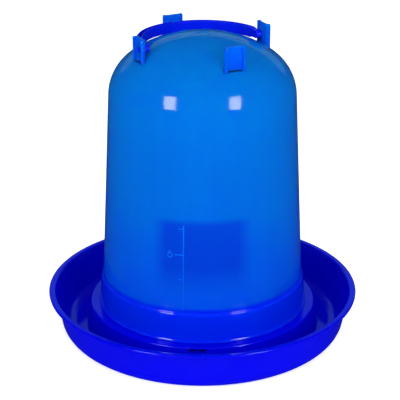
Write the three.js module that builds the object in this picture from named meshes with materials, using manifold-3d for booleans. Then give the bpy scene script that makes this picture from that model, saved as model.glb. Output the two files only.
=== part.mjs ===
// Poultry waterer fount: a reservoir with four moulded feet, the tray it seats in, and a folding bail.
// Millimetres, +Z up. The origin is the centre of the tray's underside, +X runs along the bail's
// pivot axis, and the bail folds back towards +Y.
import * as THREE from 'three';
import { mergeVertices } from 'three/addons/utils/BufferGeometryUtils.js';
import Module from 'manifold-3d';

const wasm = await Module();
wasm.setup();

// ---- driving dimensions ----
const GAP = 0.3; // running gap between touching pieces
const AROUND = 60; // facets around a full turn
const SECTOR_FACET = 5; // degrees of each facet on a ring sector
const CHORD_ERROR = 0.3; // how far a facet may stand inside its arc
const OVERLAP = 1; // joined solids run into each other, and cuts run past a surface, by this much

// tray
const TRAY_WALL = 2.8;
const BASE_CORNER_R = 157; // where the wall's line meets the underside
const BASE_FILLET = 18;
const RIM_WALL_R = 165.5;
const RIM_UNDER_Z = 45.6;
const LIP_R = 173;
const LIP_INNER_R = 166;
const LIP_TOP_Z = 48.8;
const SEAT_FOOT_R = 128.8;
const SEAT_R = 126.2;
const SEAT_TOP_Z = 33.5; // flat ring that the reservoir stands on
const NECK_FOOT_R = 105;
const NECK_R = 103.6;
const NECK_TOP_Z = 73;

// bayonet and water outlets
const BAYONET_COUNT = 3;
const TAB_ANGLE = 22;
const TAB_R = 109.3;
const TAB_Z = [44, 47.5];
const KEY_ANGLE = 18;
const KEY_INNER_R = 106.2;
const KEY_ROOT_R = 114.8; // inside the skirt's sloping wall
const KEY_Z = [36.5, 41];
const OUTLET_AZIMUTH = -118.8;
const OUTLET_WIDTH = 19;
const OUTLET_FLOOR_Z = 27.5;
const OUTLET_INNER_R = 108.5;
const BRIDGE_INNER_R = 115; // the seat's skin bridges the outer end of each outlet
const BRIDGE_THICKNESS = 1.5;
const TAB_AZIMUTH = OUTLET_AZIMUTH + 180 / BAYONET_COUNT;
const KEY_AZIMUTH = TAB_AZIMUTH + 40; // seated, not yet turned under the tabs

// reservoir
const SHELL_WALL = 2.2;
const SKIRT_FOOT_Z = SEAT_TOP_Z + GAP;
const SKIRT_FOOT_R = 116.4;
const SKIRT_TOP_R = 113.2;
const STEP_Z = 65.6;
const STEP_HALF_HEIGHT = 1;
const BARREL_FOOT_R = 111.4;
const BARREL_TAPER = 2.81; // degrees
const BARREL_TOP_Z = 275.6;
const SHOULDER_RADIUS = 53.5;
const CROWN_RADIUS = 140;
const GATE_DIMPLE_R = 7.5;
const GATE_DIMPLE_DEPTH = 0.9;

// feet on the shoulder; the pair on the X axis also carry the bail
const FOOT_COUNT = 4;
const FOOT_INNER_R = 70.5;
const FOOT_DEPTH = 5.3;
const FOOT_WIDTH = 23.4;
const FOOT_WALL = 2.7;
const FOOT_CORNER = 2.5;
const FOOT_TOP_Z = 344.5;
const FOOT_ROOT_Z = 300; // well inside the shell

// bail, folded back
const PIVOT_Z = 331.8;
const BAIL_INNER_R = 63;
const BAIL_OUTER_R = 69.6;
const BAIL_HEIGHT = 11;
const BAIL_WALL = 1.3;
const BAIL_FLOOR = 2.5;
const BAIL_END_ANGLE = 8; // full height starts this far round from each pivot
const BAIL_END_OVERLAP_ANGLE = 1;
const BAIL_END_HEIGHT = 8.4;
const BAIL_CHANNEL_END_ANGLE = 14;
const BAIL_PAD_WIDTH = 10; // solid pad at the middle, where a hook bears
const PAD_DIMPLE_R = 1.5;
const PAD_DIMPLE_DEPTH = 1;
const PIN_R = 3;
const PIN_HOLE_R = PIN_R + GAP;
const PIN_TIP_X = 74.6;

// ---- helpers ----
const radians = THREE.MathUtils.degToRad;

// A closed three.js geometry as a manifold solid.
function solid(geometry) {
  const bare = geometry.clone();
  bare.deleteAttribute('normal');
  bare.deleteAttribute('uv');
  const merged = mergeVertices(bare, 1e-4);
  const index = merged.index.array;
  const triangles = [];
  for (let i = 0; i < index.length; i += 3) {
    const [a, b, c] = [index[i], index[i + 1], index[i + 2]];
    if (a !== b && b !== c && c !== a) triangles.push(a, b, c);
  }
  return new wasm.Manifold(new wasm.Mesh({
    numProp: 3,
    vertProperties: Float32Array.from(merged.attributes.position.array),
    triVerts: Uint32Array.from(triangles),
  }));
}

// A manifold solid as a named three.js mesh.
function mesh(name, body, look) {
  const { vertProperties, triVerts } = body.getMesh();
  const geometry = new THREE.BufferGeometry();
  geometry.setAttribute('position', new THREE.BufferAttribute(vertProperties, 3));
  geometry.setIndex(new THREE.BufferAttribute(triVerts, 1));
  geometry.computeVertexNormals();
  const piece = new THREE.Mesh(geometry, new THREE.MeshStandardMaterial(look));
  piece.name = name;
  return piece;
}

// Points along an arc about (r, z), from one angle to another in degrees.
function arc(r, z, radius, from, to) {
  const step = 2 * Math.acos(1 - CHORD_ERROR / radius);
  const steps = Math.max(1, Math.round(radians(Math.abs(to - from)) / step));
  return Array.from({ length: steps + 1 }, (_, i) => {
    const angle = radians(from + ((to - from) * i) / steps);
    return new THREE.Vector2(r + radius * Math.cos(angle), z + radius * Math.sin(angle));
  });
}

// An outline from corners [r, z, fillet radius].
function rounded(corners) {
  const points = [];
  corners.forEach(([r, z, fillet = 0], i) => {
    const corner = new THREE.Vector2(r, z);
    if (!fillet) {
      points.push(corner);
      return;
    }
    const before = new THREE.Vector2(...corners[i - 1].slice(0, 2)).sub(corner).normalize();
    const after = new THREE.Vector2(...corners[i + 1].slice(0, 2)).sub(corner).normalize();
    const half = Math.acos(before.dot(after)) / 2;
    const bisector = before.clone().add(after).normalize();
    const centre = corner.clone().addScaledVector(bisector, fillet / Math.sin(half));
    const start = corner.clone().addScaledVector(before, fillet / Math.tan(half)).sub(centre);
    const end = corner.clone().addScaledVector(after, fillet / Math.tan(half)).sub(centre);
    const from = THREE.MathUtils.radToDeg(start.angle());
    let sweep = THREE.MathUtils.radToDeg(end.angle()) - from;
    if (sweep > 180) sweep -= 360;
    if (sweep < -180) sweep += 360;
    points.push(...arc(centre.x, centre.y, fillet, from, from + sweep));
  });
  return points;
}

// A solid of revolution about Z. The outline runs outwards along the bottom and up the outside.
function turned(outline) {
  return solid(new THREE.LatheGeometry(outline, AROUND).rotateX(Math.PI / 2));
}

// Part of a flat ring about Z, between two radii, two angles and two heights.
function ringSector(innerR, outerR, from, to, bottomZ, topZ) {
  const shape = new THREE.Shape();
  shape.absarc(0, 0, outerR, radians(from), radians(to), false);
  shape.absarc(0, 0, innerR, radians(to), radians(from), true);
  const geometry = new THREE.ExtrudeGeometry(shape, {
    depth: topZ - bottomZ,
    bevelEnabled: false,
    curveSegments: Math.max(4, Math.round((to - from) / SECTOR_FACET)),
  });
  return solid(geometry.translate(0, 0, bottomZ));
}

// A box that reaches outwards along +X from one radius to another, then turned about Z.
function radialBox(innerR, outerR, width, bottomZ, topZ, azimuth) {
  const geometry = new THREE.BoxGeometry(outerR - innerR, width, topZ - bottomZ);
  geometry.translate((innerR + outerR) / 2, 0, (bottomZ + topZ) / 2);
  return solid(geometry.rotateZ(radians(azimuth)));
}

// A cylinder along X, centred on the bail's pivot axis.
function pivotCylinder(radius, fromX, toX) {
  const geometry = new THREE.CylinderGeometry(radius, radius, toX - fromX, 24).rotateZ(Math.PI / 2);
  return solid(geometry.translate((fromX + toX) / 2, 0, PIVOT_Z));
}

const azimuths = (count, first) => Array.from({ length: count }, (_, i) => first + (360 / count) * i);

// ---- tray: trough, flat seat and raised neck, all one moulded sheet ----
function makeTray() {
  const t = TRAY_WALL;
  let tray = turned(rounded([
    [0, NECK_TOP_Z - t],
    [NECK_R - t, NECK_TOP_Z - t, 1.5],
    [NECK_FOOT_R - t, SEAT_TOP_Z - t, 2],
    [SEAT_R - t, SEAT_TOP_Z - t, 1.5],
    [SEAT_FOOT_R - t, 0, 1],
    [BASE_CORNER_R, 0, BASE_FILLET],
    [RIM_WALL_R, RIM_UNDER_Z, 1],
    [LIP_R, RIM_UNDER_Z, 1.2],
    [LIP_R, LIP_TOP_Z, 1.2],
    [LIP_INNER_R, LIP_TOP_Z, 2],
    [BASE_CORNER_R - t, t, BASE_FILLET - t],
    [SEAT_FOOT_R, t, 3],
    [SEAT_R, SEAT_TOP_Z, 1.8],
    [NECK_FOOT_R, SEAT_TOP_Z, 1],
    [NECK_R, NECK_TOP_Z, 2.5],
    [0, NECK_TOP_Z],
  ]));
  for (const azimuth of azimuths(BAYONET_COUNT, OUTLET_AZIMUTH)) {
    const liningZ = [OUTLET_FLOOR_Z - t, SEAT_TOP_Z - t / 2];
    const lining = radialBox(NECK_R - t / 2, SEAT_R - t / 2, OUTLET_WIDTH + 2 * t, ...liningZ, azimuth);
    const channelZ = [OUTLET_FLOOR_Z, SEAT_TOP_Z + OVERLAP];
    const channel = radialBox(OUTLET_INNER_R, BRIDGE_INNER_R, OUTLET_WIDTH, ...channelZ, azimuth);
    const mouthR = [BRIDGE_INNER_R - OVERLAP, SEAT_FOOT_R + OVERLAP];
    const mouthZ = [OUTLET_FLOOR_Z, SEAT_TOP_Z - BRIDGE_THICKNESS];
    const mouth = radialBox(...mouthR, OUTLET_WIDTH, ...mouthZ, azimuth);
    tray = tray.add(lining).subtract(channel).subtract(mouth);
  }
  for (const azimuth of azimuths(BAYONET_COUNT, TAB_AZIMUTH)) {
    const half = TAB_ANGLE / 2;
    tray = tray.add(ringSector(NECK_R - t / 2, TAB_R, azimuth - half, azimuth + half, ...TAB_Z));
  }
  return tray;
}

// ---- reservoir: skirt, tapered barrel and domed crown, with the feet moulded on ----
const BARREL_SLOPE = Math.tan(radians(BARREL_TAPER));
const BARREL_TOP_R = BARREL_FOOT_R - (BARREL_TOP_Z - STEP_Z) * BARREL_SLOPE;
const SHOULDER_R = BARREL_TOP_R - SHOULDER_RADIUS * Math.cos(radians(BARREL_TAPER));
const SHOULDER_Z = BARREL_TOP_Z - SHOULDER_RADIUS * Math.sin(radians(BARREL_TAPER));
const CROWN_Z = SHOULDER_Z - Math.sqrt((CROWN_RADIUS - SHOULDER_RADIUS) ** 2 - SHOULDER_R ** 2);
const CROWN_ANGLE = THREE.MathUtils.radToDeg(Math.atan2(SHOULDER_Z - CROWN_Z, SHOULDER_R));
const CROWN_TOP_Z = CROWN_Z + CROWN_RADIUS;

// The filled form of the reservoir, shrunk by an inset from its outer surface. It is turned by half
// a facet, so that a flat faces each foot.
function reservoirForm(inset) {
  const footZ = SKIRT_FOOT_Z - inset; // the cavity runs out through the open foot
  const form = turned([
    ...rounded([
      [0, footZ],
      [SKIRT_FOOT_R - inset, footZ],
      [SKIRT_TOP_R - inset, STEP_Z - STEP_HALF_HEIGHT, 1],
      [BARREL_FOOT_R - inset, STEP_Z + STEP_HALF_HEIGHT, 1],
      [BARREL_TOP_R - inset, BARREL_TOP_Z],
    ]),
    ...arc(SHOULDER_R, SHOULDER_Z, SHOULDER_RADIUS - inset, BARREL_TAPER, CROWN_ANGLE).slice(1),
    ...arc(0, CROWN_Z, CROWN_RADIUS - inset, CROWN_ANGLE, 90).slice(1, -1),
    new THREE.Vector2(0, CROWN_TOP_Z - inset),
  ]);
  return form.rotate([0, 0, 180 / AROUND]);
}

// A foot: a plate across the radius with a rib down each side, open to the outside.
function makeFoot(azimuth) {
  const half = FOOT_WIDTH / 2;
  const outerR = FOOT_INNER_R + FOOT_DEPTH;
  const plan = new THREE.Shape([
    new THREE.Vector2(FOOT_INNER_R, -half),
    new THREE.Vector2(outerR, -half),
    new THREE.Vector2(outerR, -half + FOOT_WALL),
    new THREE.Vector2(FOOT_INNER_R + FOOT_WALL, -half + FOOT_WALL),
    new THREE.Vector2(FOOT_INNER_R + FOOT_WALL, half - FOOT_WALL),
    new THREE.Vector2(outerR, half - FOOT_WALL),
    new THREE.Vector2(outerR, half),
    new THREE.Vector2(FOOT_INNER_R, half),
  ]);
  const column = new THREE.ExtrudeGeometry(plan, { depth: FOOT_TOP_Z - FOOT_ROOT_Z, bevelEnabled: false });
  const front = new THREE.Shape(rounded([
    [-half, FOOT_ROOT_Z],
    [half, FOOT_ROOT_Z],
    [half, FOOT_TOP_Z, FOOT_CORNER],
    [-half, FOOT_TOP_Z, FOOT_CORNER],
    [-half, FOOT_ROOT_Z],
  ]).slice(0, -1));
  const slab = new THREE.ExtrudeGeometry(front, { depth: 2 * outerR, bevelEnabled: false });
  slab.rotateX(Math.PI / 2).rotateZ(Math.PI / 2);
  const foot = solid(column.translate(0, 0, FOOT_ROOT_Z)).intersect(solid(slab));
  return foot.rotate([0, 0, azimuth]);
}

function makeReservoir() {
  let body = reservoirForm(0);
  for (const azimuth of azimuths(FOOT_COUNT, 0)) body = body.add(makeFoot(azimuth));
  body = body.subtract(reservoirForm(SHELL_WALL));
  for (const azimuth of azimuths(BAYONET_COUNT, KEY_AZIMUTH)) {
    const half = KEY_ANGLE / 2;
    body = body.add(ringSector(KEY_INNER_R, KEY_ROOT_R, azimuth - half, azimuth + half, ...KEY_Z));
  }
  const dimple = new THREE.CylinderGeometry(GATE_DIMPLE_R, GATE_DIMPLE_R, 2 * GATE_DIMPLE_DEPTH, 36);
  body = body.subtract(solid(dimple.rotateX(Math.PI / 2).translate(0, 0, CROWN_TOP_Z)));
  const fromX = FOOT_INNER_R - OVERLAP;
  const toX = FOOT_INNER_R + FOOT_DEPTH + OVERLAP;
  return body.subtract(pivotCylinder(PIN_HOLE_R, -toX, -fromX))
    .subtract(pivotCylinder(PIN_HOLE_R, fromX, toX));
}

// ---- bail: a half ring of channel section, open upwards when folded, with a pin at each end ----
function makeBail() {
  const bottom = PIVOT_Z - BAIL_HEIGHT / 2;
  const top = PIVOT_Z + BAIL_HEIGHT / 2;
  const endBottom = PIVOT_Z - BAIL_END_HEIGHT / 2;
  const endTop = PIVOT_Z + BAIL_END_HEIGHT / 2;
  const padHalfAngle = THREE.MathUtils.radToDeg(BAIL_PAD_WIDTH / (BAIL_INNER_R + BAIL_OUTER_R));
  let bail = ringSector(BAIL_INNER_R, BAIL_OUTER_R, BAIL_END_ANGLE, 180 - BAIL_END_ANGLE, bottom, top);
  const endAngle = BAIL_END_ANGLE + BAIL_END_OVERLAP_ANGLE;
  for (const [from, to] of [[0, endAngle], [180 - endAngle, 180]]) {
    bail = bail.add(ringSector(BAIL_INNER_R, BAIL_OUTER_R, from, to, endBottom, endTop));
  }
  const channels = [
    [BAIL_CHANNEL_END_ANGLE, 90 - padHalfAngle],
    [90 + padHalfAngle, 180 - BAIL_CHANNEL_END_ANGLE],
  ];
  for (const [from, to] of channels) {
    const walls = [BAIL_INNER_R + BAIL_WALL, BAIL_OUTER_R - BAIL_WALL];
    bail = bail.subtract(ringSector(...walls, from, to, bottom + BAIL_FLOOR, top + OVERLAP));
  }
  for (const side of [-1, 1]) {
    const boss = [BAIL_INNER_R, BAIL_OUTER_R].map((x) => side * x).sort((a, b) => a - b);
    const pin = [BAIL_OUTER_R - OVERLAP, PIN_TIP_X].map((x) => side * x).sort((a, b) => a - b);
    bail = bail.add(pivotCylinder(BAIL_END_HEIGHT / 2, ...boss)).add(pivotCylinder(PIN_R, ...pin));
  }
  const dimple = new THREE.CylinderGeometry(PAD_DIMPLE_R, PAD_DIMPLE_R, 2 * PAD_DIMPLE_DEPTH, 16);
  return bail.subtract(solid(dimple.translate(0, BAIL_INNER_R, PIVOT_Z)));
}

// ---- assembly ----
const reservoirPlastic = { color: 0x0070de, roughness: 0.28, metalness: 0 };
const trayPlastic = { color: 0x0404d8, roughness: 0.2, metalness: 0 };
const bailPlastic = { color: 0x0418c8, roughness: 0.25, metalness: 0 };

const fount = new THREE.Group();
fount.add(
  mesh('tray', makeTray(), trayPlastic),
  mesh('reservoir', makeReservoir(), reservoirPlastic),
  mesh('bail', makeBail(), bailPlastic),
);

export default fount;
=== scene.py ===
"""Poultry waterer fount: moulded blue plastic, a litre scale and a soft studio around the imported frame.

The three CAD bodies are replaced by smooth versions of the same shapes. Shapes are written in
millimetres, as on a drawing, and turned into metres where the mesh is made.
"""

import math

import bpy
from mathutils import Euler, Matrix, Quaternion, Vector


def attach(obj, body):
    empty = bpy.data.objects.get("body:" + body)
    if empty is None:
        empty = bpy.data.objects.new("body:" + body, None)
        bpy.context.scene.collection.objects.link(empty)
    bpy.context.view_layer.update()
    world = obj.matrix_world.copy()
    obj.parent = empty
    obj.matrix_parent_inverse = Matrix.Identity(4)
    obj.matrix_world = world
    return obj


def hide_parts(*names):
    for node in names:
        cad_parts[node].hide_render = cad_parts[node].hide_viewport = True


MM = 0.001
SHARP_EDGE = 38.0  # degrees between two faces, past which their shared edge is not shaded smooth

# how far mesh lines stand either side of the edge of a detail
CLOSE_SIX = (-0.9, -0.6, -0.3, 0, 0.3, 0.6, 0.9)
CLOSE_FOUR = (-0.5, -0.25, 0, 0.25, 0.5)
CLOSE_TURNS = (-0.4, -0.2, 0, 0.2, 0.4)

# ---- tray ----
TRAY_WALL = 2.8
NECK_FOOT_R = 105.0
NECK_R = 103.6
NECK_TOP_Z = 73.0
SEAT_TOP_Z = 33.5
SEAT_R = 126.2
SEAT_FOOT_R = 128.8
BASE_CORNER_R = 157.0
BASE_FILLET = 18.0
RIM_WALL_R = 165.5
RIM_UNDER_Z = 45.6
LIP_R = 173.0
LIP_INNER_R = 166.0
LIP_TOP_Z = 48.8

# water outlets in the seat, and the bayonet that holds the reservoir
OUTLETS = [-118.8, 1.2, 121.2]
OUTLET_HALF_WIDTH = 9.5
OUTLET_INNER_R = 108.5
OUTLET_DEPTH = 6.0
OUTLET_MIDDLE_R = (OUTLET_INNER_R + SEAT_R) / 2
OUTLET_EDGE = 0.8
BRIDGE_INNER_R = 115.0
BRIDGE_THICKNESS = 1.5
BRIDGE_LAP = 1.5
TABS = [-58.8, 61.2, 181.2]
TAB_HALF_ANGLE = 11.0
TAB_R = 109.3
TAB_Z = (44.0, 47.5)
KEYS = [-18.8, 101.2, 221.2]
KEY_HALF_ANGLE = 9.0
KEY_INNER_R = 106.2
KEY_Z = (36.5, 41.0)

# ---- reservoir ----
SHELL_WALL = 2.2
SKIRT_FOOT_Z = 33.8
SKIRT_FOOT_R = 116.4
SKIRT_TOP_R = 113.2
STEP_Z = 65.6
STEP_FILLET = 2.6
BEAD_WIDTH = 0.6
BEAD_HEIGHT = 2.6
BARREL_FOOT_R = 111.4
BARREL_TOP_Z = 275.6
BARREL_TAPER = math.radians(2.81)
SHOULDER_RADIUS = 53.5
CROWN_RADIUS = 140.0
GATE_R = 7.5
GATE_DEPTH = 0.9

BARREL_TOP_R = BARREL_FOOT_R - (BARREL_TOP_Z - STEP_Z) * math.tan(BARREL_TAPER)
SHOULDER_R = BARREL_TOP_R - SHOULDER_RADIUS * math.cos(BARREL_TAPER)
SHOULDER_Z = BARREL_TOP_Z - SHOULDER_RADIUS * math.sin(BARREL_TAPER)
CROWN_Z = SHOULDER_Z - math.sqrt((CROWN_RADIUS - SHOULDER_RADIUS) ** 2 - SHOULDER_R**2)
CROWN_ANGLE = math.atan2(SHOULDER_Z - CROWN_Z, SHOULDER_R)

# feet: a plate across the radius with a rib down each side
FEET = [0, 90, 180, 270]
FOOT_INNER_R = 70.5
FOOT_DEPTH = 5.3
FOOT_WIDTH = 23.4
FOOT_WALL = 2.7
FOOT_TOP_Z = 344.5
FOOT_TOP_CORNER = 2.5
FOOT_EDGE = 0.6
FOOT_SHADE_Z = 0.5  # above the dome, where the feet's darker painted shade starts
# the root of a foot, as (distance out from its face, height above the dome)
FOOT_FLARE = [(0.8, -1.2), (0.8, 0.0), (0.45, 0.12), (0.22, 0.3), (0.06, 0.55), (0.0, 0.8)]

# ---- bail ----
PIVOT_Z = 331.8
BAIL_INNER_R = 63.0
BAIL_OUTER_R = 69.6
BAIL_HEIGHT = 11.0
BAIL_WALL = 1.3
BAIL_FLOOR = 2.5
BAIL_END_HEIGHT = 8.4
BAIL_END_ANGLE = 8.0
BAIL_END_BLEND = 2.0
BAIL_EDGE = 0.5
BAIL_CHAMFER = 0.3
CHANNEL_END_ANGLE = 14.0
CHANNEL_SOFT = 0.4
PAD_HALF_ANGLE = 4.35
PIN_R = 3.0
PIN_HOLE_R = 3.3
BORE_OVERRUN = 2.0
PIN_ROOT_X = 67.5
PIN_TIP_X = 74.6
PIN_TIP_R = 2.4

# ---- litre scale on the front of the barrel: each tick is (height, length) ----
SCALE_AZIMUTH = -126.9
SCALE_TOP_Z = 164.5
SCALE_BOTTOM_Z = 69.0
SCALE_TICKS = [(160.6, 6.0), (131.8, 10.0), (104.2, 6.0)]
NUMERAL_OFFSET = 15.0
NUMERAL_WIDTH = 5.0
NUMERAL_HEIGHT = 7.0
MARK_HALF_WIDTH = 0.5
MARK_HEIGHT = 0.4
MARK_SIDES = 10
MARK_END = 0.25

# soft painted shade behind the scale, on the side toward the camera, where the tray's neck shows through
# the wall: where each side starts to fade in, and where it is full
PATCH_AZIMUTH = -116.4
PATCH_SIDE = (52.0, 38.0)
PATCH_BOTTOM = (84.0, 118.0)
PATCH_TOP = (172.0, 165.0)
PATCH_FRONT = (0.0, 50.0)
PATCH_DEPTH = 0.8

# ---- camera, in metres and degrees, fitted to the tray, the step and the crown ----
VIEW_AZIMUTH = -26.4
CAMERA_DISTANCE = 1.400
CAMERA_HEIGHT = 0.7206
CAMERA_PITCH = 22.147
CAMERA_YAW = 0.109
CAMERA_LENS = 122.9

# ---- studio, in metres ----
FLOOR_REACH = 6.0
FLOOR_Z = -0.0002
LIGHTS_AIM_HEIGHT = 0.17
WHITE = (1.0, 1.0, 1.0)


# ---- outlines in the (radius, height) plane ----
def arc(r, z, radius, start, end, step=6.0):
    """Points along an arc about (r, z), angles in radians."""
    count = max(2, round(math.degrees(abs(end - start)) / step))
    angles = [start + (end - start) * i / count for i in range(count + 1)]
    return [(r + radius * math.cos(a), z + radius * math.sin(a)) for a in angles]


def rounded(corners):
    """An outline from corners (r, z) or (r, z, fillet radius)."""
    points = []
    for i, corner in enumerate(corners):
        place = Vector(corner[:2])
        if len(corner) < 3:
            points.append(tuple(place))
            continue
        before = (Vector(corners[i - 1][:2]) - place).normalized()
        after = (Vector(corners[i + 1][:2]) - place).normalized()
        half = before.angle(after) / 2
        centre = place + (before + after).normalized() * corner[2] / math.sin(half)
        start = place + before * corner[2] / math.tan(half) - centre
        end = place + after * corner[2] / math.tan(half) - centre
        first = math.atan2(start.y, start.x)
        sweep = (math.atan2(end.y, end.x) - first + math.pi) % (2 * math.pi) - math.pi
        points += arc(centre.x, centre.y, corner[2], first, first + sweep)
    return points


def supported(outline, near=0.4, longest=6.0):
    """The outline with points near the ends of each long run and along it, for even shading."""
    points = [outline[0]]
    for a, b in zip(outline, outline[1:]):
        length = math.dist(a, b)
        shares = []
        if length > 4 * near:
            inner = length - 2 * near
            count = max(1, math.ceil(inner / longest))
            shares = [(near + inner * i / count) / length for i in range(count + 1)]
        points += [(a[0] + (b[0] - a[0]) * s, a[1] + (b[1] - a[1]) * s) for s in shares]
        points.append(b)
    return points


def with_rows(outline, rows, near=0.02):
    """The outline with extra points that lie on its straight runs."""
    points = [outline[0]]
    for a, b in zip(outline, outline[1:]):
        length = math.dist(a, b)
        on_run = [p for p in rows if math.dist(a, p) + math.dist(p, b) < length + near]
        points += sorted(on_run, key=lambda p: math.dist(a, p))
        points.append(b)
    return points


def smoothstep(low, high, value):
    share = min(1.0, max(0.0, (value - low) / (high - low)))
    return share * share * (3 - 2 * share)


def window(value, low, high, soft):
    """1 between low and high, 0 outside, with a soft edge either side."""
    return smoothstep(low - soft, low + soft, value) * (1 - smoothstep(high - soft, high + soft, value))


def turn_between(azimuth, centre):
    """The signed angle from centre to azimuth, in degrees."""
    return (azimuth - centre + 180) % 360 - 180


# ---- meshes ----
def shade(data, sharp):
    """Smooth shading, but for edges sharper than the angle in degrees."""
    data.shade_smooth()
    data.set_sharp_from_angle(angle=math.radians(sharp))


def make_object(name, points, faces, sharp=SHARP_EDGE):
    """An object from points in millimetres."""
    data = bpy.data.meshes.new(name)
    data.from_pydata([(x * MM, y * MM, z * MM) for x, y, z in points], [], faces)
    data.validate()
    shade(data, sharp)
    piece = bpy.data.objects.new(name, data)
    bpy.context.scene.collection.objects.link(piece)
    return piece


def rings(rows, columns, first=0):
    """Faces between closed rings of points, stored ring by ring."""
    faces = []
    for i in range(rows - 1):
        start = first + i * columns
        for j in range(columns):
            right = (j + 1) % columns
            faces.append((start + j, start + right, start + columns + right, start + columns + j))
    return faces


def spun_faces(rows, columns):
    """Faces of rings that lie between a first and a last point on the axis."""
    faces = rings(rows, columns, first=1)
    last = rows * columns + 1
    for j in range(columns):
        right = (j + 1) % columns
        faces.append((0, 1 + right, 1 + j))
        faces.append((last, last - columns + j, last - columns + right))
    return faces


def swept_faces(rows, columns):
    """Faces of rings along a path, with a flat end at each end of it."""
    faces = rings(rows, columns)
    faces.append(tuple(reversed(range(columns))))
    faces.append(tuple(range((rows - 1) * columns, rows * columns)))
    return faces


def flipped(faces):
    return [tuple(reversed(face)) for face in faces]


def turned(name, outline, azimuths, shape):
    """A solid of revolution, its outline from axis to axis; shape(azimuth, r, z) may move a point."""
    points = [(0, 0, outline[0][1])]
    for r, z in outline[1:-1]:
        for azimuth in azimuths:
            turn, radius, height = shape(azimuth, r, z)
            angle = math.radians(turn)
            points.append((radius * math.cos(angle), radius * math.sin(angle), height))
    points.append((0, 0, outline[-1][1]))
    return make_object(name, points, spun_faces(len(outline) - 2, len(azimuths)))


def columns_around(count, details):
    """Azimuths of a turned mesh: even steps, and extra ones at each detail's (centres, offsets)."""
    around = {round(360 * i / count, 3) for i in range(count)}
    for centres, offsets in details:
        around |= {round((c + side * o) % 360, 3) for c in centres for o in offsets for side in (-1, 1)}
    kept = []
    for azimuth in sorted(around):
        if not kept or azimuth - kept[-1] > 0.05:
            kept.append(azimuth)
    return kept


def cut(piece, *cutters):
    """Subtracts solids from a piece and removes them."""
    for cutter in cutters:
        change = piece.modifiers.new("cut", "BOOLEAN")
        change.operation = "DIFFERENCE"
        change.solver = "EXACT"
        change.object = cutter
    apply_modifiers(piece)
    for cutter in cutters:
        bpy.data.objects.remove(cutter)


def fuse(piece, *others):
    """Joins solids to a piece and removes them."""
    for other in others:
        change = piece.modifiers.new("fuse", "BOOLEAN")
        change.operation = "UNION"
        change.solver = "EXACT"
        change.object = other
    apply_modifiers(piece)
    for other in others:
        bpy.data.objects.remove(other)


def apply_modifiers(piece):
    graph = bpy.context.evaluated_depsgraph_get()
    data = bpy.data.meshes.new_from_object(piece.evaluated_get(graph))
    piece.modifiers.clear()
    piece.data = data
    shade(data, SHARP_EDGE)


def pivot_rod(name, profile, sides=32):
    """A rod along X on the bail's pivot axis; its (x, radius) profile starts and ends at radius 0."""
    points = [(profile[0][0], 0, PIVOT_Z)]
    for x, radius in profile[1:-1]:
        for j in range(sides):
            angle = 2 * math.pi * j / sides
            points.append((x, radius * math.cos(angle), PIVOT_Z + radius * math.sin(angle)))
    points.append((profile[-1][0], 0, PIVOT_Z))
    faces = spun_faces(len(profile) - 2, sides)
    if profile[0][0] < profile[-1][0]:
        faces = flipped(faces)
    return make_object(name, points, faces)


# ---- tray ----
def tray_shape(azimuth, r, z):
    """Sinks the outlets into the seat and raises the bayonet tabs on the neck."""
    turn = azimuth
    for outlet in OUTLETS:
        away = turn_between(azimuth, outlet)
        # columns beside an outlet run parallel to it, not radially
        parallel = 1 - smoothstep(6, 16, abs(away))
        turn += away * (OUTLET_MIDDLE_R / min(max(r, NECK_R), SEAT_FOOT_R) - 1) * parallel
        if NECK_FOOT_R + 0.5 < r < SEAT_FOOT_R + 0.5:
            across = math.radians(abs(away)) * OUTLET_MIDDLE_R
            sunk = OUTLET_DEPTH * window(across, -OUTLET_HALF_WIDTH, OUTLET_HALF_WIDTH, OUTLET_EDGE)
            sunk *= smoothstep(OUTLET_INNER_R - OUTLET_EDGE, OUTLET_INNER_R + OUTLET_EDGE, r)
            under = z <= SEAT_TOP_Z - TRAY_WALL + 0.01 and r < SEAT_R - TRAY_WALL / 2
            z = min(z, SEAT_TOP_Z - sunk - (TRAY_WALL if under else 0))
    if NECK_R - 0.5 < r < NECK_FOOT_R and z > SEAT_TOP_Z + 2:
        for tab in TABS:
            share = window(turn_between(azimuth, tab), -TAB_HALF_ANGLE, TAB_HALF_ANGLE, 0.3)
            r += (TAB_R - r) * share * window(z, TAB_Z[0], TAB_Z[1], 0.35)
    return turn, r, z


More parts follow.
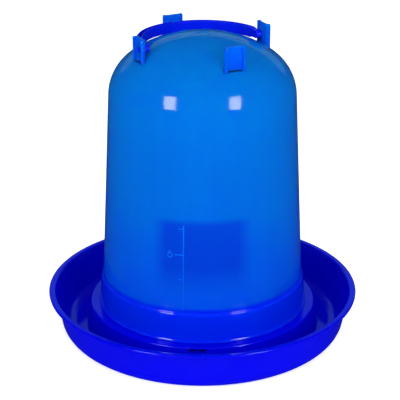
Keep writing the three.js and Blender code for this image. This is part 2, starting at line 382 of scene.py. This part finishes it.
def make_tray():
    t = TRAY_WALL
    outline = rounded([
        (0, NECK_TOP_Z - t),
        (NECK_R - t, NECK_TOP_Z - t, 1.5),
        (NECK_FOOT_R - t, SEAT_TOP_Z - t, 2),
        (SEAT_R - t, SEAT_TOP_Z - t, 1.5),
        (SEAT_FOOT_R - t, 0, 1),
        (BASE_CORNER_R, 0, BASE_FILLET),
        (RIM_WALL_R, RIM_UNDER_Z, 1),
        (LIP_R, RIM_UNDER_Z, 1.2),
        (LIP_R, LIP_TOP_Z, 1.4),
        (LIP_INNER_R, LIP_TOP_Z, 2.4),
        (BASE_CORNER_R - t, t, BASE_FILLET - t),
        (SEAT_FOOT_R, t, 3),
        (SEAT_R, SEAT_TOP_Z, 1.8),
        (NECK_FOOT_R, SEAT_TOP_Z, 1),
        (NECK_R, NECK_TOP_Z, 2.5),
        (0, NECK_TOP_Z),
    ])
    # rows close together at the outlets' inner ends and at the tabs
    rows = [(OUTLET_INNER_R + d, z) for z in (SEAT_TOP_Z, SEAT_TOP_Z - t) for d in CLOSE_SIX]
    lean = (NECK_FOOT_R - NECK_R) / (NECK_TOP_Z - SEAT_TOP_Z)
    tab_heights = [z + d for z in TAB_Z for d in CLOSE_FOUR]
    rows += [(NECK_FOOT_R - (z - SEAT_TOP_Z) * lean, z) for z in tab_heights]
    outline = supported(with_rows(outline, rows))
    azimuths = columns_around(240, [
        (OUTLETS, [math.degrees((OUTLET_HALF_WIDTH + d) / OUTLET_MIDDLE_R) for d in CLOSE_SIX]),
        (TABS, [TAB_HALF_ANGLE + d for d in CLOSE_TURNS]),
    ])
    return turned("tray_shell", outline, azimuths, tray_shape)


def make_bridge(number, outlet):
    """The skin of the seat that bridges the outer end of an outlet."""
    low = SEAT_TOP_Z - BRIDGE_THICKNESS
    lean = (SEAT_FOOT_R - SEAT_R) / SEAT_TOP_Z
    section = rounded([
        (BRIDGE_INNER_R, (SEAT_TOP_Z + low) / 2),
        (BRIDGE_INNER_R, SEAT_TOP_Z, 0.5),
        (SEAT_R, SEAT_TOP_Z, 1.4),
        (SEAT_R + BRIDGE_THICKNESS * lean, low, 0.3),
        (BRIDGE_INNER_R, low, 0.5),
        (BRIDGE_INNER_R, (SEAT_TOP_Z + low) / 2),
    ])[:-1]
    half_angle = math.degrees((OUTLET_HALF_WIDTH + BRIDGE_LAP) / SEAT_R)
    turns = [math.radians(outlet + half_angle * (i / 8 - 1)) for i in range(17)]
    points = [(r * math.cos(a), r * math.sin(a), z) for a in turns for r, z in section]
    return make_object(f"outlet_bridge_{number}", points, swept_faces(len(turns), len(section)))


# ---- reservoir ----
def crown_height(r):
    """Height of the reservoir's outer surface over a radius on the shoulder or the crown."""
    if r < CROWN_RADIUS * math.cos(CROWN_ANGLE):
        return CROWN_Z + math.sqrt(CROWN_RADIUS**2 - r * r)
    return SHOULDER_Z + math.sqrt(max(0.0, SHOULDER_RADIUS**2 - (r - SHOULDER_R) ** 2))


def shell_side(inset):
    """The reservoir's side, from the crown down to the skirt's foot, at an inset from the outside."""
    crown_start = math.acos(2 * GATE_R / CROWN_RADIUS)
    crown = arc(0, CROWN_Z, CROWN_RADIUS - inset, crown_start, CROWN_ANGLE, 2)
    shoulder = arc(SHOULDER_R, SHOULDER_Z, SHOULDER_RADIUS - inset, CROWN_ANGLE, BARREL_TAPER, 3)
    wall = rounded([
        (BARREL_TOP_R - inset, BARREL_TOP_Z),
        (BARREL_FOOT_R - inset, STEP_Z + 1, STEP_FILLET),
        (SKIRT_TOP_R - inset, STEP_Z - 1, STEP_FILLET),
        (SKIRT_FOOT_R - inset, SKIRT_FOOT_Z),
    ])
    return crown + shoulder[1:] + wall[1:]


def reservoir_shape(azimuth, r, z):
    """Raises the bayonet keys on the inside of the skirt."""
    for key in KEYS:
        share = window(turn_between(azimuth, key), -KEY_HALF_ANGLE, KEY_HALF_ANGLE, 0.3)
        share *= window(z, KEY_Z[0], KEY_Z[1], 0.35)
        if r < SKIRT_FOOT_R - (z - SKIRT_FOOT_Z) * 0.1 - SHELL_WALL / 2 and z < STEP_Z:
            r += (KEY_INNER_R - r) * share
    return azimuth, r, z


def make_shell():
    top = CROWN_Z + CROWN_RADIUS
    gate = rounded([
        (0, top - GATE_DEPTH),
        (GATE_R - 0.7, top - GATE_DEPTH, 0.5),
        (GATE_R + 0.1, crown_height(GATE_R), 0.4),
        (2 * GATE_R, crown_height(2 * GATE_R)),
    ])
    outside = shell_side(0)
    inside = shell_side(SHELL_WALL)[::-1]
    foot = rounded([
        outside[-2],
        (SKIRT_FOOT_R - 0.1, SKIRT_FOOT_Z + BEAD_HEIGHT, 0.5),
        (SKIRT_FOOT_R + BEAD_WIDTH, SKIRT_FOOT_Z + BEAD_HEIGHT - 0.9, 0.9),
        (SKIRT_FOOT_R + BEAD_WIDTH, SKIRT_FOOT_Z, 0.5),
        (SKIRT_FOOT_R - SHELL_WALL, SKIRT_FOOT_Z, 0.8),
        inside[1],
    ])
    outline = gate[:-1] + outside[:-2] + foot + inside[2:] + [(0, top - SHELL_WALL)]
    start, end = foot[-2:]
    key_heights = [z + d for z in KEY_Z for d in CLOSE_FOUR]
    shares = [(z - start[1]) / (end[1] - start[1]) for z in key_heights]
    rows = [(start[0] + (end[0] - start[0]) * s, z) for s, z in zip(shares, key_heights)]
    outline = supported(with_rows(outline, rows))
    azimuths = columns_around(240, [(KEYS, [KEY_HALF_ANGLE + d for d in CLOSE_TURNS])])
    # known fault: the outline runs down the outside, so this mesh's faces point inwards
    return turned("reservoir_shell", outline, azimuths, reservoir_shape)


def foot_path():
    """The middle line of a foot's U section, from rib to rib, as (x, y, normal x, normal y)."""
    half = FOOT_WIDTH / 2 - FOOT_WALL / 2
    plate_x = FOOT_INNER_R + FOOT_WALL / 2
    edge_x = FOOT_INNER_R + FOOT_DEPTH
    bend = FOOT_WALL / 2 + 0.5
    line = rounded([(edge_x, -half), (plate_x, -half, bend), (plate_x, half, bend), (edge_x, half)])
    line = supported(line, near=0.25, longest=1.2)
    path = []
    for i, (x, y) in enumerate(line):
        before = Vector(line[max(0, i - 1)])
        after = Vector(line[min(len(line) - 1, i + 1)])
        along = (after - before).normalized()
        path.append((x, y, along.y, -along.x))
    return path


def foot_section(width):
    """Across a foot's wall: (distance from its middle, height above the dome, rise at the top)."""
    section = [(width + out, height, None) for out, height in FOOT_FLARE]
    narrowed = width * 2 / FOOT_WALL
    for turn in (0, 0.4, 0.8, 1.2, math.pi / 2):
        across = FOOT_WALL / 2 - FOOT_EDGE + FOOT_EDGE * math.cos(turn)
        section.append((across * narrowed, None, FOOT_EDGE * math.sin(turn)))
    return section + [(-across, height, rise) for across, height, rise in reversed(section)]


def make_foot(azimuth):
    """A foot whose root flares into the dome and whose top edges are rounded."""
    path = foot_path()
    angle = math.radians(azimuth)
    straight = FOOT_WIDTH / 2 - FOOT_TOP_CORNER
    points = []
    for x, y, nx, ny in path:
        end = min(math.dist((x, y), path[0][:2]), math.dist((x, y), path[-1][:2]))
        thin = math.sqrt(1 - (1 - min(1.0, end / FOOT_EDGE)) ** 2)
        for offset, height, rise in foot_section(FOOT_WALL / 2 * max(0.15, thin)):
            px = x + nx * offset
            py = y + ny * offset
            if rise is None:
                pz = crown_height(math.hypot(px, py)) + height
            else:
                over = min(FOOT_TOP_CORNER, max(0.0, abs(py) - straight))
                corner = FOOT_TOP_CORNER - math.sqrt(FOOT_TOP_CORNER**2 - over**2)
                pz = FOOT_TOP_Z - FOOT_EDGE - corner + rise
            points.append((
                px * math.cos(angle) - py * math.sin(angle),
                px * math.sin(angle) + py * math.cos(angle),
                pz,
            ))
    columns = len(points) // len(path)
    faces = rings(len(path), columns)
    # known fault: these end caps are wound against the sides; mended alone, the join loses the shell
    faces.append(tuple(range(columns)))
    faces.append(tuple(reversed(range(len(points) - columns, len(points)))))
    return make_object(f"foot_{azimuth}", points, flipped(faces))


def make_reservoir():
    shell = make_shell()
    fuse(shell, *[make_foot(azimuth) for azimuth in FEET])
    bores = []
    for side in (-1, 1):
        near = side * (FOOT_INNER_R - BORE_OVERRUN)
        far = side * (FOOT_INNER_R + FOOT_DEPTH + BORE_OVERRUN)
        bores.append(pivot_rod("bore", [(near, 0), (near, PIN_HOLE_R), (far, PIN_HOLE_R), (far, 0)]))
    cut(shell, *bores)
    shell.data.materials.clear()
    shell.data.materials.append(reservoir_plastic())
    shell.data.materials.append(shaded_foot_plastic())
    # faces above the dome, on the feet, take the second material, a darker painted shade of the same
    # plastic
    for face in shell.data.polygons:
        x, y, z = (value / MM for value in face.center)
        if z > crown_height(math.hypot(x, y)) + FOOT_SHADE_Z:
            face.material_index = 1
    return shell


def on_barrel(azimuth, z, out=0.0):
    """A point on the barrel's outside, pushed out by a distance."""
    r = BARREL_FOOT_R - (z - STEP_Z) * math.tan(BARREL_TAPER) + out
    angle = math.radians(azimuth)
    return Vector((r * math.cos(angle), r * math.sin(angle), z))


def mark(name, path):
    """A raised line on the barrel through points (distance left of the scale line, height)."""
    middle = [on_barrel(SCALE_AZIMUTH - math.degrees(left / BARREL_FOOT_R), z) for left, z in path]
    points = []
    for i, centre in enumerate(middle):
        along = (middle[min(i + 1, len(middle) - 1)] - middle[max(i - 1, 0)]).normalized()
        out = Vector((centre.x, centre.y, 0)).normalized()
        across = along.cross(out).normalized()
        size = 0.35 if i in (0, len(middle) - 1) else 1.0
        for j in range(MARK_SIDES):
            angle = 2 * math.pi * j / MARK_SIDES
            offset = across * MARK_HALF_WIDTH * math.cos(angle) + out * MARK_HEIGHT * math.sin(angle)
            points.append(centre + offset * size)
    return make_object(name, points, flipped(swept_faces(len(middle), MARK_SIDES)), sharp=80)


def even_line(start, end, step=2.0):
    """Points along a straight mark, with a short first and last step for its rounded ends."""
    length = math.dist(start, end)
    count = max(1, round(length / step))
    near = MARK_END / length
    shares = [0, near] + [i / count for i in range(1, count)] + [1 - near, 1]
    return [(start[0] + (end[0] - start[0]) * s, start[1] + (end[1] - start[1]) * s) for s in shares]


def make_scale():
    marks = [mark("scale_line", even_line((0, SCALE_TOP_Z), (0, SCALE_BOTTOM_Z)))]
    for i, (z, length) in enumerate(SCALE_TICKS):
        marks.append(mark(f"scale_tick_{i}", even_line((0.6, z), (length, z))))
    # a 6, for litres, beside the long tick
    bowl = NUMERAL_WIDTH / 2
    z = SCALE_TICKS[1][0]
    low = z - NUMERAL_HEIGHT / 2 + bowl
    stem = [math.pi * (0.35 + 0.65 * a / 7) for a in range(7)]
    tall = NUMERAL_HEIGHT - bowl
    figure = [(NUMERAL_OFFSET - bowl * math.cos(a), low + tall * math.sin(a)) for a in stem]
    loop = [math.pi + a * 2 * math.pi / 20 for a in range(21)]
    figure += [(NUMERAL_OFFSET - bowl * math.cos(a), low + bowl * math.sin(a)) for a in loop]
    marks.append(mark("scale_numeral", figure))
    return marks


# ---- bail ----
def bail_section(angle):
    """The bail's section, as (radius, height), at an angle along it from 0 at one pivot to 180."""
    from_end = min(angle, 180 - angle)
    half = BAIL_END_HEIGHT / 2
    if from_end < 0:  # the round boss past the pivot
        half = math.sqrt(max(0.04, half**2 - (BAIL_OUTER_R * math.radians(from_end)) ** 2))
    blend = (BAIL_END_ANGLE - BAIL_END_BLEND, BAIL_END_ANGLE + BAIL_END_BLEND)
    half += (BAIL_HEIGHT - BAIL_END_HEIGHT) / 2 * smoothstep(*blend, from_end)
    bottom, top = PIVOT_Z - half, PIVOT_Z + half
    channel = smoothstep(CHANNEL_END_ANGLE - CHANNEL_SOFT, CHANNEL_END_ANGLE + CHANNEL_SOFT, from_end)
    from_middle = abs(angle - 90)
    channel *= smoothstep(PAD_HALF_ANGLE - CHANNEL_SOFT, PAD_HALF_ANGLE + CHANNEL_SOFT, from_middle)
    floor = top - (top - bottom - BAIL_FLOOR) * channel
    soft = min(BAIL_EDGE, half * 0.6)
    wall, chamfer = BAIL_WALL, BAIL_CHAMFER
    outer = rounded([
        (BAIL_OUTER_R, PIVOT_Z),
        (BAIL_OUTER_R, top, soft),
        (BAIL_OUTER_R - wall / 2, top),
    ])
    groove = [
        (BAIL_OUTER_R - wall + chamfer, top),
        (BAIL_OUTER_R - wall, top - chamfer * channel),
        (BAIL_OUTER_R - wall, floor + chamfer * channel),
        (BAIL_OUTER_R - wall - chamfer, floor),
        (BAIL_INNER_R + wall + chamfer, floor),
        (BAIL_INNER_R + wall, floor + chamfer * channel),
        (BAIL_INNER_R + wall, top - chamfer * channel),
        (BAIL_INNER_R + wall - chamfer, top),
    ]
    inner = rounded([
        (BAIL_INNER_R + wall / 2, top),
        (BAIL_INNER_R, top, soft),
        (BAIL_INNER_R, bottom, soft),
        (BAIL_OUTER_R, bottom, soft),
        (BAIL_OUTER_R, PIVOT_Z),
    ])
    return outer + groove + inner[:-1]


def make_bail():
    """A half ring of channel section, folded back, with a pad in the middle and a boss at each end."""
    first = -math.degrees(BAIL_END_HEIGHT / 2 / BAIL_OUTER_R)
    stations = {first + (180 - 2 * first) * i / 150 for i in range(151)}
    pad_ends = (90 - PAD_HALF_ANGLE, 90 + PAD_HALF_ANGLE)
    for centre in (CHANNEL_END_ANGLE, 180 - CHANNEL_END_ANGLE, *pad_ends):
        stations |= {centre + d for d in (-0.5, -0.3, -0.1, 0.1, 0.3, 0.5)}
    for end, side in ((first, 1), (180 - first, -1)):
        stations |= {end + side * d for d in (0.02, 0.08, 0.2, 0.4, 0.7)}
    points = []
    for angle in sorted(stations):
        turn = math.radians(angle)
        points += [(r * math.cos(turn), r * math.sin(turn), z) for r, z in bail_section(angle)]
    faces = swept_faces(len(stations), len(points) // len(stations))
    bail = make_object("bail_ring", points, flipped(faces))
    tip = [(PIN_TIP_X - 0.6, PIN_R), (PIN_TIP_X - 0.2, 2.8), (PIN_TIP_X, PIN_TIP_R), (PIN_TIP_X, 0)]
    profile = [(PIN_ROOT_X, 0), (PIN_ROOT_X, PIN_R), *tip]
    fuse(bail, *[pivot_rod("pin", [(side * x, radius) for x, radius in profile]) for side in (-1, 1)])
    return bail


# ---- materials ----
class Plastic:
    """A moulded plastic: one Principled shader, with helpers that add nodes to it."""

    def __init__(self, name, **sockets):
        self.material = bpy.data.materials.new(name)
        self.material.use_nodes = True
        self.tree = self.material.node_tree
        self.shader = self.tree.nodes["Principled BSDF"]
        for socket, value in sockets.items():
            self.shader.inputs[socket.replace("_", " ")].default_value = value
        self.place = self.tree.nodes.new("ShaderNodeTexCoord").outputs["Object"]

    def noise(self, scale, detail=3.0, stretch=(1, 1, 1)):
        mapping = self.tree.nodes.new("ShaderNodeMapping")
        mapping.inputs["Scale"].default_value = stretch
        texture = self.tree.nodes.new("ShaderNodeTexNoise")
        texture.inputs["Scale"].default_value = scale
        texture.inputs["Detail"].default_value = detail
        self.tree.links.new(self.place, mapping.inputs["Vector"])
        self.tree.links.new(mapping.outputs["Vector"], texture.inputs["Vector"])
        return texture.outputs["Fac"]

    def height(self):
        split = self.tree.nodes.new("ShaderNodeSeparateXYZ")
        self.tree.links.new(self.place, split.inputs["Vector"])
        return split.outputs["Z"]

    def along(self, azimuth):
        """How far a point lies from the axis in one level direction."""
        angle = math.radians(azimuth)
        node = self.tree.nodes.new("ShaderNodeVectorMath")
        node.operation = "DOT_PRODUCT"
        node.inputs[1].default_value = (math.cos(angle), math.sin(angle), 0)
        self.tree.links.new(self.place, node.inputs[0])
        return node.outputs["Value"]

    def span(self, value, low, high, to_low=0.0, to_high=1.0):
        """The value's run from low to high, as a run from to_low to to_high, and no further."""
        node = self.tree.nodes.new("ShaderNodeMapRange")
        node.inputs["From Min"].default_value = low
        node.inputs["From Max"].default_value = high
        node.inputs["To Min"].default_value = to_low
        node.inputs["To Max"].default_value = to_high
        self.tree.links.new(value, node.inputs["Value"])
        return node.outputs["Result"]

    def combine(self, operation, a, b):
        node = self.tree.nodes.new("ShaderNodeMath")
        node.operation = operation
        self.tree.links.new(a, node.inputs[0])
        self.tree.links.new(b, node.inputs[1])
        return node.outputs["Value"]

    def ramp(self, value, stops):
        node = self.tree.nodes.new("ShaderNodeValToRGB")
        ramp = node.color_ramp
        while len(ramp.elements) < len(stops):
            ramp.elements.new(0.5)
        for element, (position, colour) in zip(ramp.elements, stops):
            element.position = position
            element.color = (*colour, 1)
        self.tree.links.new(value, node.inputs["Fac"])
        return node.outputs["Color"]

    def mix(self, share, a, b):
        node = self.tree.nodes.new("ShaderNodeMix")
        node.data_type = "RGBA"
        self.tree.links.new(share, node.inputs["Factor"])
        self.tree.links.new(a, node.inputs["A"])
        self.tree.links.new(b, node.inputs["B"])
        return node.outputs["Result"]

    def bump(self, *layers):
        """Bump from layers of (height value, distance in metres)."""
        normal = None
        for value, distance in layers:
            node = self.tree.nodes.new("ShaderNodeBump")
            node.inputs["Distance"].default_value = distance
            self.tree.links.new(value, node.inputs["Height"])
            if normal:
                self.tree.links.new(normal, node.inputs["Normal"])
            normal = node.outputs["Normal"]
        self.tree.links.new(normal, self.shader.inputs["Normal"])

    def link(self, value, socket):
        self.tree.links.new(value, self.shader.inputs[socket])


def painted_shade_mask(plastic):
    """How deep a point lies in the painted shade behind the litre scale, a soft dark area where the neck
    shows through, from 0 to PATCH_DEPTH.
    """
    across = plastic.along(PATCH_AZIMUTH + 90)
    out, full = (distance * MM for distance in PATCH_SIDE)
    depth = plastic.span(across, -out, -full)
    edges = [
        plastic.span(across, full, out, 1, 0),
        plastic.span(plastic.along(PATCH_AZIMUTH), *[distance * MM for distance in PATCH_FRONT]),
        plastic.span(plastic.height(), *[z * MM for z in PATCH_BOTTOM]),
        plastic.span(plastic.height(), *[z * MM for z in reversed(PATCH_TOP)], 1, 0),
    ]
    for edge in edges:
        depth = plastic.combine("MULTIPLY", depth, edge)
    return plastic.span(depth, 0, 1, 0, PATCH_DEPTH)


def polyethylene(name, colour_and_painted_shade, painted_shade_colour=None):
    """Milky polyethylene, cloudy and faintly streaked; its colour ramp up the height, given as (share of
    the height, colour), holds the plastic's blue with painted light and shade.
    """
    plastic = Plastic(
        name,
        IOR=1.5,
        Subsurface_Weight=1.0,
        Subsurface_Radius=(0.05, 1.0, 0.22),
        Subsurface_Scale=0.006,
    )
    cloud = plastic.noise(14, 4, (1, 1, 0.35))
    streak = plastic.noise(90, 2, (1, 1, 0.06))
    rise = plastic.span(plastic.height(), SKIRT_FOOT_Z * MM, FOOT_TOP_Z * MM)
    pale = [(share, (red, green * 1.12, blue * 1.05)) for share, (red, green, blue) in colour_and_painted_shade]
    cloudy = plastic.span(plastic.combine("ADD", cloud, streak), 0.6, 1.4)
    # the height ramp paints light and shade into the colour; the cloudy mix is the plastic's own uneven
    # tone
    colour = plastic.mix(cloudy, plastic.ramp(rise, colour_and_painted_shade), plastic.ramp(rise, pale))
    # painted shade: the dark area behind the scale is mixed into the colour
    if painted_shade_colour:
        painted_shade_ramp = plastic.ramp(rise, [(0.0, painted_shade_colour), (1.0, painted_shade_colour)])
        colour = plastic.mix(painted_shade_mask(plastic), colour, painted_shade_ramp)
    plastic.link(colour, "Base Color")
    plastic.link(plastic.span(cloud, 0.3, 0.7, 0.07, 0.11), "Roughness")
    plastic.bump((plastic.noise(22, 2, (1, 1, 0.5)), 0.0004), (plastic.noise(900, 3), 0.00001))
    return plastic.material


def reservoir_plastic():
    """Painted light makes it paler towards the crown, and painted shade makes it darker low down, where
    the tray's neck is behind the wall.
    """
    return polyethylene("reservoir_plastic", [
        # painted shade on the skirt below the step, then painted light growing paler up to the crown
        (0.00, (0.0, 0.018, 0.75)),
        (0.112, (0.0, 0.021, 0.75)),
        (0.125, (0.0, 0.072, 0.66)),
        (0.30, (0.0, 0.085, 0.58)),
        (0.44, (0.0, 0.108, 0.54)),
        (0.60, (0.0, 0.118, 0.53)),
        (0.95, (0.0, 0.150, 0.56)),
    # the colour of the painted shade behind the scale
    ], painted_shade_colour=(0.0, 0.028, 0.50))


def shaded_foot_plastic():
    """The feet are solid through, so they look darker than the wall; this is painted shade, a darker copy
    of the wall's plastic, a little lighter towards their top.
    """
    return polyethylene("shaded_foot_plastic", [
        (0.90, (0.0, 0.080, 0.66)),
        (1.00, (0.0, 0.100, 0.66)),
    ])


def lit_scale_plastic():
    """The raised lines of the scale, which catch more light than the wall; this is painted light, a
    lighter copy of the wall's plastic that grows paler higher up.
    """
    return polyethylene("lit_scale_plastic", [
        (0.10, (0.0, 0.10, 0.76)),
        (0.45, (0.0, 0.16, 0.76)),
    ])


def tray_plastic():
    """Deep blue glossy polypropylene with faint flow marks and fine handling scratches."""
    plastic = Plastic("tray_plastic", IOR=1.49, Specular_IOR_Level=0.4)
    cloud = plastic.noise(18, 4)
    plastic.link(
        plastic.ramp(cloud, [(0.3, (0.0001, 0.0004, 0.59)), (0.7, (0.0002, 0.0008, 0.65))]),
        "Base Color",
    )
    scuff = plastic.noise(160, 6, (1, 1, 0.3))
    plastic.link(plastic.span(scuff, 0.35, 0.75, 0.09, 0.15), "Roughness")
    plastic.bump((plastic.noise(30, 2), 0.0003), (plastic.noise(1200, 3), 0.00002))
    return plastic.material


def bail_plastic():
    """The bail's blue, a little lighter than the tray's, with a fine moulded grain."""
    plastic = Plastic("bail_plastic", IOR=1.49, Specular_IOR_Level=0.3)
    cloud = plastic.noise(60, 3)
    plastic.link(
        plastic.ramp(cloud, [(0.3, (0.0003, 0.008, 0.66)), (0.7, (0.0005, 0.010, 0.74))]),
        "Base Color",
    )
    plastic.link(plastic.span(plastic.noise(120, 3), 0.3, 0.7, 0.18, 0.26), "Roughness")
    plastic.bump((plastic.noise(900, 2), 0.00001))
    return plastic.material


def floor_material():
    material = bpy.data.materials.new("studio_floor")
    material.use_nodes = True
    shader = material.node_tree.nodes["Principled BSDF"]
    shader.inputs["Base Color"].default_value = (0.9, 0.9, 0.9, 1)
    shader.inputs["Roughness"].default_value = 0.8
    shader.inputs["Specular IOR Level"].default_value = 0.1
    shader.inputs["Emission Color"].default_value = (1, 1, 1, 1)
    shader.inputs["Emission Strength"].default_value = 0.6
    return material


# ---- studio ----
def direction(azimuth, elevation):
    """From the object towards a viewer at an azimuth and elevation, as the camera's are given."""
    a, e = math.radians(azimuth), math.radians(elevation)
    return Vector((math.sin(a) * math.cos(e), -math.cos(a) * math.cos(e), math.sin(e)))


def area_light(name, azimuth, elevation, distance, size, radiance, roll=0, tint=WHITE, mirrored=True):
    """A soft rectangular light aimed at the middle of the fount, which glossy surfaces may mirror."""
    light = bpy.data.lights.new(name, "AREA")
    light.shape = "RECTANGLE"
    light.color = tint
    light.size, light.size_y = size
    light.energy = radiance * size[0] * size[1] * math.pi
    rig = bpy.data.objects.new(name, light)
    target = Vector((0, 0, LIGHTS_AIM_HEIGHT))
    rig.location = target + direction(azimuth, elevation) * distance
    aim = (target - rig.location).to_track_quat("-Z", "Y")
    rig.rotation_euler = (aim @ Quaternion((0, 0, 1), math.radians(roll))).to_euler()
    rig.visible_glossy = mirrored
    rig.visible_transmission = mirrored
    bpy.context.scene.collection.objects.link(rig)


def make_studio():
    floor_mesh = bpy.data.meshes.new("studio_floor")
    reach = FLOOR_REACH
    level = [(-reach, -reach), (reach, -reach), (reach, reach), (-reach, reach)]
    corners = [(x, y, FLOOR_Z) for x, y in level]
    floor_mesh.from_pydata(corners, [], [(0, 1, 2, 3)])
    floor_mesh.materials.append(floor_material())
    floor = bpy.data.objects.new("studio_floor", floor_mesh)
    bpy.context.scene.collection.objects.link(floor)
    floor.visible_glossy = False

    world = bpy.data.worlds.new("studio")
    world.use_nodes = True
    background = world.node_tree.nodes["Background"]
    background.inputs["Color"].default_value = (1, 1, 1, 1)
    background.inputs["Strength"].default_value = 0.02
    bpy.context.scene.world = world

    area_light("softbox_left", VIEW_AZIMUTH - 41, 25, 2.2, (0.52, 0.95), 9.0, roll=12)
    area_light("softbox_right", VIEW_AZIMUTH + 41, 25, 2.2, (0.52, 0.95), 9.0, roll=-12)
    area_light("overhead", 0, 89, 2.6, (3.0, 3.0), 1.2, mirrored=False)
    area_light("fill_front", VIEW_AZIMUTH, 33, 2.6, (3.2, 2.0), 2.3, mirrored=False)
    area_light("fill_back_left", VIEW_AZIMUTH - 125, 22, 2.6, (2.4, 2.0), 0.6, mirrored=False)
    area_light("fill_back_right", VIEW_AZIMUTH + 125, 22, 2.6, (2.4, 2.0), 0.6, mirrored=False)
    area_light("backdrop", VIEW_AZIMUTH + 180, 19, 2.6, (4.4, 0.70), 0.28, tint=(0.45, 0.9, 1.0))


def make_camera():
    data = bpy.data.cameras.new("camera")
    data.lens = CAMERA_LENS
    data.sensor_width = 36
    data.clip_start = 0.05
    camera = bpy.data.objects.new("camera", data)
    side = direction(VIEW_AZIMUTH, 0) * CAMERA_DISTANCE
    camera.location = (side.x, side.y, CAMERA_HEIGHT)
    tilt = math.radians(90 - CAMERA_PITCH)
    heading = math.radians(VIEW_AZIMUTH + CAMERA_YAW)
    camera.rotation_euler = Euler((tilt, 0, heading))
    bpy.context.scene.collection.objects.link(camera)
    bpy.context.scene.camera = camera


# ---- build ----
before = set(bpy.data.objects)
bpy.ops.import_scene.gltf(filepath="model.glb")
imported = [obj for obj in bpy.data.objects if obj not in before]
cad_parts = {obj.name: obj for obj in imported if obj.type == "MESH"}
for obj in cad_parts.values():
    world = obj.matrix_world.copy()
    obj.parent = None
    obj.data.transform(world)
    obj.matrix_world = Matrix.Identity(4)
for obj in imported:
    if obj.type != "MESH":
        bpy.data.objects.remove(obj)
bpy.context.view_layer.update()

tray = make_tray()
deep_blue = tray_plastic()
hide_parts("tray")
for piece in [tray] + [make_bridge(i, outlet) for i, outlet in enumerate(OUTLETS)]:
    piece.data.materials.append(deep_blue)
    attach(piece, "tray")

reservoir = make_reservoir()
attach(reservoir, "reservoir")
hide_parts("reservoir")
# the scale's lines get a lighter copy of the plastic as painted light
lit_raised_plastic = lit_scale_plastic()
for line in make_scale():
    line.data.materials.append(lit_raised_plastic)
    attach(line, "reservoir")

bail = make_bail()
bail.data.materials.clear()
bail.data.materials.append(bail_plastic())
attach(bail, "bail")
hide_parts("bail")

make_studio()
make_camera()
bpy.context.scene.view_settings.view_transform = "Standard"
